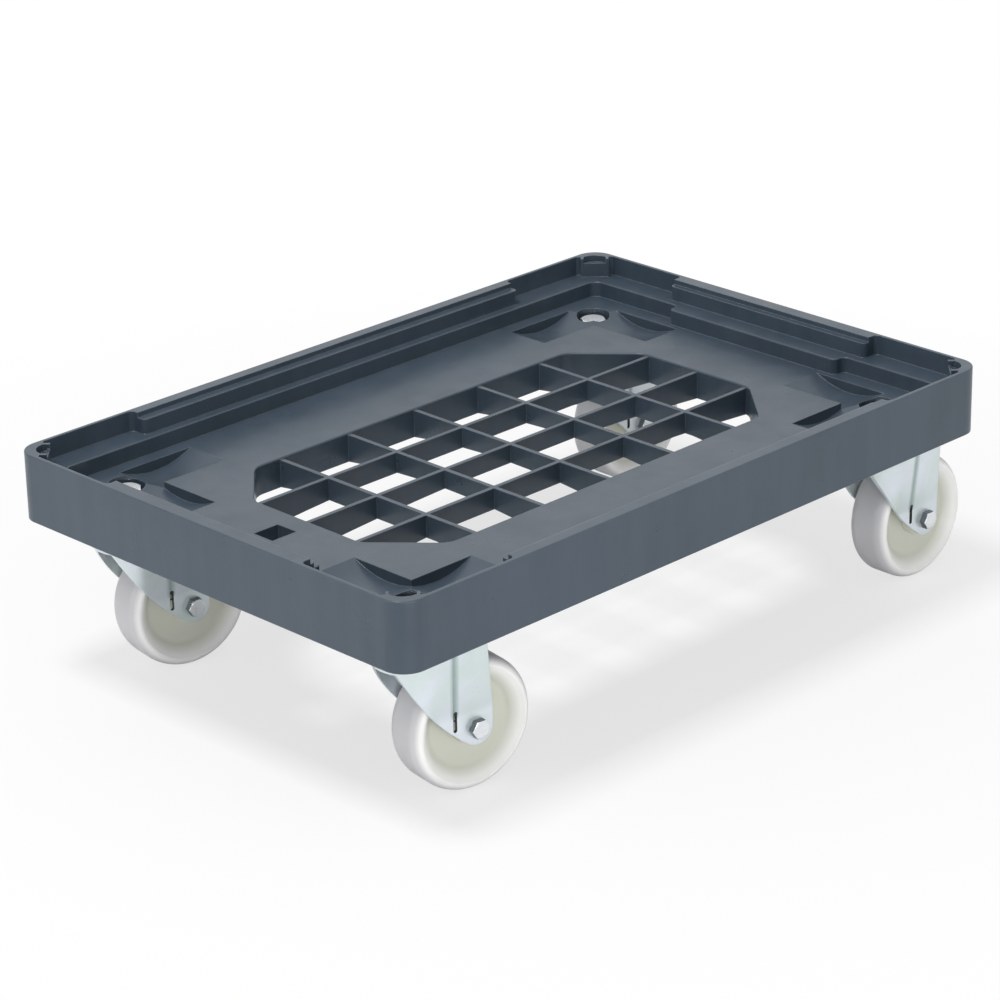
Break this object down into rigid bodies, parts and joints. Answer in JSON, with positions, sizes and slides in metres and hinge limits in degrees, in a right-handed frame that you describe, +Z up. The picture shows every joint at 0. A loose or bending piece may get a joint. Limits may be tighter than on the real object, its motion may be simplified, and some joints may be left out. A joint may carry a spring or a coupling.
{
  "type": "crate dolly",
  "caption": "Low moulded plastic crate dolly with a stepped crate seat, a ribbed grid opening and swivel castors with white nylon wheels in zinc-plated forks.",
  "frame": {"origin": "on the ground, under the middle of the dolly's outline with its front castors trailing outward", "axes": "+X along the long side towards the front, where the castors trail past the deck; +Y to the left; +Z up"},
  "size_m": [0.6394, 0.41, 0.181],
  "materials": {
    "deck_plastic": "semi-gloss injection-moulded bluish grey plastic",
    "wheel_nylon": "off-white nylon, satin",
    "castor_zinc": "bright zinc-plated pressed steel",
    "fastener_steel": "zinc-plated steel fasteners",
    "sleeve_steel": "plain turned steel",
    "ball_steel": "polished hardened steel"
  },
  "bodies": {
    "deck_body": {"deck": "deck_plastic", "mounting_bolts": "fastener_steel", "mounting_washers": "fastener_steel", "mounting_nuts": "fastener_steel", "front_left_top_race": "castor_zinc", "front_left_upper_balls": "ball_steel", "front_left_lower_balls": "ball_steel", "front_left_lower_race": "castor_zinc", "front_left_king_pin": "castor_zinc", "front_right_top_race": "castor_zinc", "front_right_upper_balls": "ball_steel", "front_right_lower_balls": "ball_steel", "front_right_lower_race": "castor_zinc", "front_right_king_pin": "castor_zinc", "rear_left_top_race": "castor_zinc", "rear_left_upper_balls": "ball_steel", "rear_left_lower_balls": "ball_steel", "rear_left_lower_race": "castor_zinc", "rear_left_king_pin": "castor_zinc", "rear_right_top_race": "castor_zinc", "rear_right_upper_balls": "ball_steel", "rear_right_lower_balls": "ball_steel", "rear_right_lower_race": "castor_zinc", "rear_right_king_pin": "castor_zinc"},
    "front_left_fork_body": {"front_left_fork": "castor_zinc", "front_left_axle_bolt": "fastener_steel", "front_left_axle_nut": "fastener_steel", "front_left_axle_sleeve": "sleeve_steel", "front_left_spacer_washers": "sleeve_steel"},
    "front_left_wheel_body": {"front_left_wheel": "wheel_nylon"},
    "front_right_fork_body": {"front_right_fork": "castor_zinc", "front_right_axle_bolt": "fastener_steel", "front_right_axle_nut": "fastener_steel", "front_right_axle_sleeve": "sleeve_steel", "front_right_spacer_washers": "sleeve_steel"},
    "front_right_wheel_body": {"front_right_wheel": "wheel_nylon"},
    "rear_left_fork_body": {"rear_left_fork": "castor_zinc", "rear_left_axle_bolt": "fastener_steel", "rear_left_axle_nut": "fastener_steel", "rear_left_axle_sleeve": "sleeve_steel", "rear_left_spacer_washers": "sleeve_steel"},
    "rear_left_wheel_body": {"rear_left_wheel": "wheel_nylon"},
    "rear_right_fork_body": {"rear_right_fork": "castor_zinc", "rear_right_axle_bolt": "fastener_steel", "rear_right_axle_nut": "fastener_steel", "rear_right_axle_sleeve": "sleeve_steel", "rear_right_spacer_washers": "sleeve_steel"},
    "rear_right_wheel_body": {"rear_right_wheel": "wheel_nylon"}
  },
  "joints": [
    {"name": "front_left_swivel", "type": "hinge", "parent": "deck_body", "child": "front_left_fork_body", "pos_m": [0.2313, 0.15, 0.119], "axis": [0, 0, 1], "continuous": true},
    {"name": "front_left_spin", "type": "hinge", "parent": "front_left_fork_body", "child": "front_left_wheel_body", "pos_m": [0.2697, 0.15, 0.05], "axis": [0, 1, 0], "continuous": true},
    {"name": "front_right_swivel", "type": "hinge", "parent": "deck_body", "child": "front_right_fork_body", "pos_m": [0.2313, -0.15, 0.119], "axis": [0, 0, 1], "continuous": true},
    {"name": "front_right_spin", "type": "hinge", "parent": "front_right_fork_body", "child": "front_right_wheel_body", "pos_m": [0.2697, -0.15, 0.05], "axis": [0, 1, 0], "continuous": true},
    {"name": "rear_left_swivel", "type": "hinge", "parent": "deck_body", "child": "rear_left_fork_body", "pos_m": [-0.2607, 0.15, 0.119], "axis": [0, 0, 1], "continuous": true},
    {"name": "rear_left_spin", "type": "hinge", "parent": "rear_left_fork_body", "child": "rear_left_wheel_body", "pos_m": [-0.22277, 0.14399, 0.05], "axis": [0.1564, 0.9877, 0], "continuous": true},
    {"name": "rear_right_swivel", "type": "hinge", "parent": "deck_body", "child": "rear_right_fork_body", "pos_m": [-0.2607, -0.15, 0.119], "axis": [0, 0, 1], "continuous": true},
    {"name": "rear_right_spin", "type": "hinge", "parent": "rear_right_fork_body", "child": "rear_right_wheel_body", "pos_m": [-0.22277, -0.15601, 0.05], "axis": [0.1564, 0.9877, 0], "continuous": true}
  ]
}
